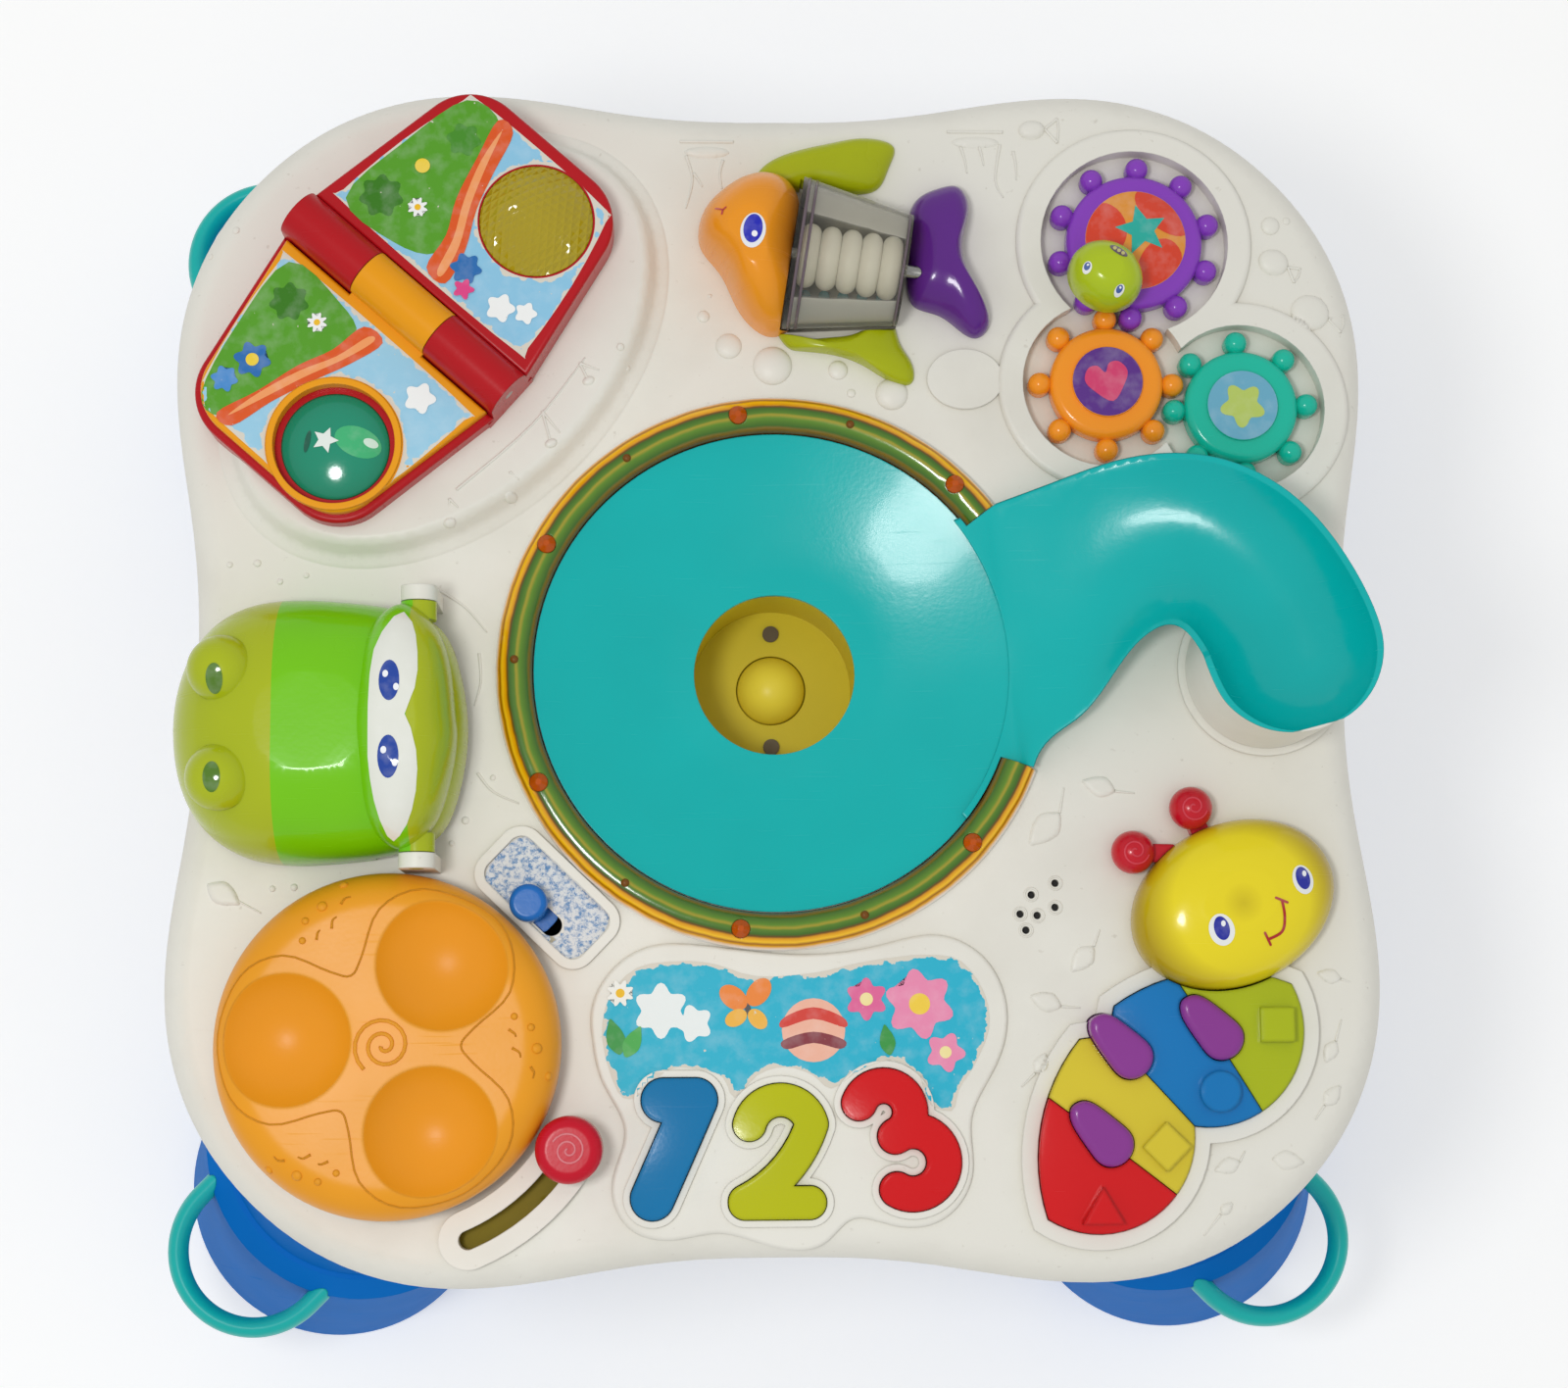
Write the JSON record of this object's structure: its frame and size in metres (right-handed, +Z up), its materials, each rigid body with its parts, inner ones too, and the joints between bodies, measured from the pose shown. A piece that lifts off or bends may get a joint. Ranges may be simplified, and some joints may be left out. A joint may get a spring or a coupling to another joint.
{
  "type": "baby activity table",
  "caption": "Low square play table on flared legs with a ball chute, flip book, turning gears, fish drum, turntable, hippo mouth and push keys.",
  "frame": {"origin": "on the floor under the middle of the deck", "axes": "+Z up, +Y to the rear edge with the fish, +X to the right edge with the chute's bowl, as seen by a child who stands at the number keys"},
  "size_m": [0.586, 0.586, 0.4401],
  "materials": {
    "white_shell": "satin warm white moulded shell, faint grime in the seams",
    "blue_leg": "glossy blue moulding",
    "teal_handle": "glossy teal moulding",
    "teal_ramp": "glossy teal moulding",
    "amber_ring": "translucent amber light guide",
    "orange_jewel": "translucent orange studs",
    "yellow_cup": "satin yellow moulding",
    "steel_screw": "zinc plated screws",
    "steel_pin": "drawn steel pin",
    "spring_steel": "coiled spring wire",
    "grey_plunger": "smooth yellow plunger",
    "purple_gear": "glossy purple moulding",
    "orange_gear": "glossy orange moulding",
    "teal_gear": "glossy teal moulding",
    "lime_knob": "glossy lime moulding",
    "red_book": "glossy red moulding",
    "amber_lens": "clear amber dome with a diamond pattern below",
    "green_disc": "glossy green bubble",
    "orange_page": "satin yellow-orange moulding",
    "fish_orange": "glossy orange moulding",
    "fish_fin_green": "glossy lime moulding",
    "fish_purple": "glossy purple moulding",
    "clear_drum": "clear moulding",
    "white_core": "white ribbed moulding",
    "bead_mix": "small bright beads",
    "orange_turntable": "glossy orange moulding with fine grooves",
    "white_arm": "plain inner moulding",
    "red_knob": "glossy red knob with a spiral groove",
    "blue_switch": "glossy blue knob",
    "number_blue": "glossy blue key",
    "number_green": "glossy lime key",
    "number_red": "glossy red key",
    "key_red": "glossy red key",
    "key_yellow": "glossy yellow key",
    "key_blue": "glossy blue key",
    "key_green": "glossy green key",
    "spike_purple": "glossy purple key",
    "head_yellow": "glossy yellow moulding",
    "antenna_red": "glossy red moulding",
    "hippo_green": "glossy green moulding",
    "jaw_green": "glossy green moulding",
    "board_green": "solder-masked circuit board",
    "pad_rubber": "carbon rubber contact pads",
    "speaker_black": "black loudspeaker body"
  },
  "bodies": {
    "table": {"table_top": "white_shell", "table_underside": "white_shell", "battery_door": "white_shell", "underside_screws": "steel_screw", "ball_ramp": "teal_ramp", "ramp_pedestal": "teal_ramp", "light_ring": "amber_ring", "light_ring_jewels": "orange_jewel", "popper_cup": "yellow_cup", "popper_cup_screws": "steel_screw", "popper_spring": "spring_steel", "gear_axles": "steel_pin", "book_base": "red_book", "book_lens": "amber_lens", "book_bubble": "green_disc", "book_hinge_pin": "steel_pin", "fish_head": "fish_orange", "fish_tail": "fish_purple", "fish_fins": "fish_fin_green", "fish_axle": "steel_pin", "turntable_spindle": "white_arm", "worm_head": "head_yellow", "worm_antennae": "antenna_red", "hippo_hinge_pin": "steel_pin", "hippo_jaw": "jaw_green", "circuit_board": "board_green", "key_contact_pads": "pad_rubber", "speaker": "speaker_black", "leg_rear_right": "blue_leg", "handle_rear_right": "teal_handle", "leg_rear_left": "blue_leg", "handle_rear_left": "teal_handle", "leg_front_left": "blue_leg", "handle_front_left": "teal_handle", "leg_front_right": "blue_leg", "handle_front_right": "teal_handle"},
    "popper_plunger": {"popper_plunger": "grey_plunger"},
    "hippo_head": {"hippo_head": "hippo_green"},
    "book_page": {"book_page": "orange_page"},
    "fish_drum": {"fish_drum": "clear_drum", "fish_core": "white_core", "fish_beads": "bead_mix"},
    "crank_gear": {"crank_gear": "purple_gear"},
    "crank_knob": {"crank_knob": "lime_knob"},
    "middle_gear": {"middle_gear": "orange_gear"},
    "outer_gear": {"outer_gear": "teal_gear"},
    "turntable": {"turntable": "orange_turntable"},
    "spin_lever": {"spin_lever_arm": "white_arm", "spin_lever_knob": "red_knob"},
    "mode_switch": {"mode_switch": "blue_switch"},
    "number_key_1": {"number_key_1": "number_blue"},
    "number_key_2": {"number_key_2": "number_green"},
    "number_key_3": {"number_key_3": "number_red"},
    "worm_key_red": {"worm_key_red": "key_red"},
    "worm_key_yellow": {"worm_key_yellow": "key_yellow"},
    "worm_key_blue": {"worm_key_blue": "key_blue"},
    "worm_key_green": {"worm_key_green": "key_green"},
    "spike_key_1": {"spike_key_1": "spike_purple"},
    "spike_key_2": {"spike_key_2": "spike_purple"},
    "spike_key_3": {"spike_key_3": "spike_purple"}
  },
  "joints": [
    {"name": "popper_slide", "type": "slide", "parent": "table", "child": "popper_plunger", "axis": [0, 0, 1], "range_m": [0, 0.008], "stiffness_N_per_m": 60, "springref_m": -0.004, "deforming": ["popper_spring"]},
    {"name": "hippo_mouth", "type": "hinge", "parent": "table", "child": "hippo_head", "pos_m": [-0.13991, -0.02515, 0.408], "axis": [0, 1, 0], "range_deg": [0, 70]},
    {"name": "page_flip", "type": "hinge", "parent": "table", "child": "book_page", "pos_m": [-0.14724, 0.14384, 0.4075], "axis": [-0.7501, 0.6613, 0], "range_deg": [0, 178]},
    {"name": "fish_drum_spin", "type": "hinge", "parent": "table", "child": "fish_drum", "pos_m": [0.03092, 0.16611, 0.391], "axis": [0.9877, -0.1564, 0], "continuous": true},
    {"name": "crank_spin", "type": "hinge", "parent": "table", "child": "crank_gear", "pos_m": [0.14882, 0.17711, 0.38], "axis": [0, 0, 1], "continuous": true},
    {"name": "middle_gear_spin", "type": "hinge", "parent": "table", "child": "middle_gear", "pos_m": [0.13601, 0.11788, 0.38], "axis": [0, 0, 1], "continuous": true},
    {"name": "outer_gear_spin", "type": "hinge", "parent": "table", "child": "outer_gear", "pos_m": [0.19093, 0.108, 0.38], "axis": [0, 0, 1], "continuous": true},
    {"name": "crank_knob_spin", "type": "hinge", "parent": "crank_gear", "child": "crank_knob", "pos_m": [0.13441, 0.15893, 0.392], "axis": [0, 0, 1], "continuous": true},
    {"name": "turntable_spin", "type": "hinge", "parent": "table", "child": "turntable", "pos_m": [-0.1517, -0.14803, 0.38], "axis": [0, 0, 1], "continuous": true},
    {"name": "spin_lever_swing", "type": "hinge", "parent": "table", "child": "spin_lever", "pos_m": [-0.1517, -0.14803, 0.38], "axis": [0, 0, 1], "range_deg": [-38, 0]},
    {"name": "mode_switch_slide", "type": "slide", "parent": "table", "child": "mode_switch", "axis": [0.7193, -0.6947, 0], "range_m": [0, 0.012]},
    {"name": "number_key_1_press", "type": "slide", "parent": "table", "child": "number_key_1", "axis": [0, 0, -1], "range_m": [0, 0.0025], "stiffness_N_per_m": 200, "springref_m": -0.002},
    {"name": "number_key_2_press", "type": "slide", "parent": "table", "child": "number_key_2", "axis": [0, 0, -1], "range_m": [0, 0.0025], "stiffness_N_per_m": 200, "springref_m": -0.002},
    {"name": "number_key_3_press", "type": "slide", "parent": "table", "child": "number_key_3", "axis": [0, 0, -1], "range_m": [0, 0.0025], "stiffness_N_per_m": 200, "springref_m": -0.002},
    {"name": "worm_key_red_press", "type": "slide", "parent": "table", "child": "worm_key_red", "axis": [0, 0, -1], "range_m": [0, 0.0025], "stiffness_N_per_m": 200, "springref_m": -0.002},
    {"name": "worm_key_yellow_press", "type": "slide", "parent": "table", "child": "worm_key_yellow", "axis": [0, 0, -1], "range_m": [0, 0.0025], "stiffness_N_per_m": 200, "springref_m": -0.002},
    {"name": "worm_key_blue_press", "type": "slide", "parent": "table", "child": "worm_key_blue", "axis": [0, 0, -1], "range_m": [0, 0.0025], "stiffness_N_per_m": 200, "springref_m": -0.002},
    {"name": "worm_key_green_press", "type": "slide", "parent": "table", "child": "worm_key_green", "axis": [0, 0, -1], "range_m": [0, 0.0025], "stiffness_N_per_m": 200, "springref_m": -0.002},
    {"name": "spike_key_1_press", "type": "slide", "parent": "table", "child": "spike_key_1", "axis": [0, 0, -1], "range_m": [0, 0.0025], "stiffness_N_per_m": 200, "springref_m": -0.002},
    {"name": "spike_key_2_press", "type": "slide", "parent": "table", "child": "spike_key_2", "axis": [0, 0, -1], "range_m": [0, 0.0025], "stiffness_N_per_m": 200, "springref_m": -0.002},
    {"name": "spike_key_3_press", "type": "slide", "parent": "table", "child": "spike_key_3", "axis": [0, 0, -1], "range_m": [0, 0.0025], "stiffness_N_per_m": 200, "springref_m": -0.002}
  ],
  "couplings": [
    {"joint": "middle_gear_spin", "follows": "crank_spin", "ratio": -1.25},
    {"joint": "outer_gear_spin", "follows": "crank_spin", "ratio": 1.25}
  ]
}
